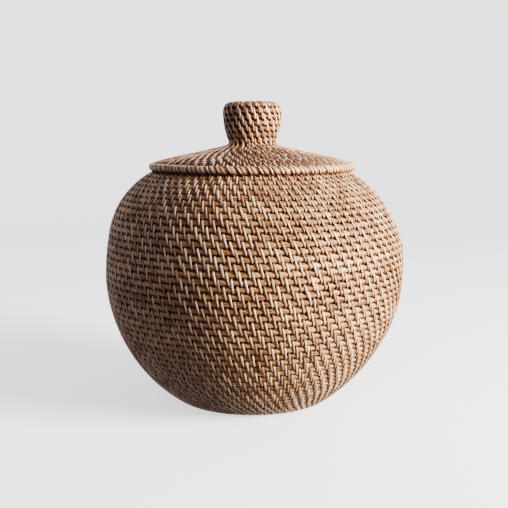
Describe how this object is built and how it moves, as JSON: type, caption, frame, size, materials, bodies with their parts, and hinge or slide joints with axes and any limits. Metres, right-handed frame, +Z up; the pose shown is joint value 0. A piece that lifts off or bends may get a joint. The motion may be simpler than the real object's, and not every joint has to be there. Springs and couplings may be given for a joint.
{
  "type": "lidded wicker basket",
  "caption": "Round coiled cane basket with a bulging wall, a flat base and a lift-off coned lid with a knob and a bound rim.",
  "frame": {"origin": "the middle of the base's underside, where the basket stands", "axes": "+Z up along the basket's axis, towards the lid's knob; -Y is the front, and the basket is round, so X and Y are alike"},
  "size_m": [0.3006, 0.3006, 0.3005],
  "materials": {
    "cane": "semi-gloss golden brown rattan cane under pale stitches of split cane",
    "peel": "semi-gloss pale split cane with brown edges"
  },
  "bodies": {
    "basket": {"base_start_knot": "cane", "base_coil_inner": "cane", "base_coil_outer": "cane", "wall_coil_01": "cane", "wall_coil_02": "cane", "wall_coil_03": "cane", "wall_coil_04": "cane", "wall_coil_05": "cane", "wall_coil_06": "cane", "wall_coil_07": "cane", "wall_coil_08": "cane", "wall_coil_09": "cane", "wall_coil_10": "cane", "wall_coil_11": "cane", "wall_coil_12": "cane", "wall_coil_13": "cane", "wall_coil_14": "cane", "mouth_coil": "cane"},
    "lid": {"knob_start_knot": "cane", "knob_top_coil": "cane", "knob_side_coil": "cane", "lid_coil_inner": "cane", "lid_coil_outer": "cane", "lid_rim_hoop": "cane", "lid_rim_binding": "peel", "lid_locating_ring": "cane"}
  },
  "joints": [
    {"name": "lid_lift", "type": "slide", "parent": "basket", "child": "lid", "axis": [0, 0, 1], "range_m": [0, 0.25]}
  ]
}
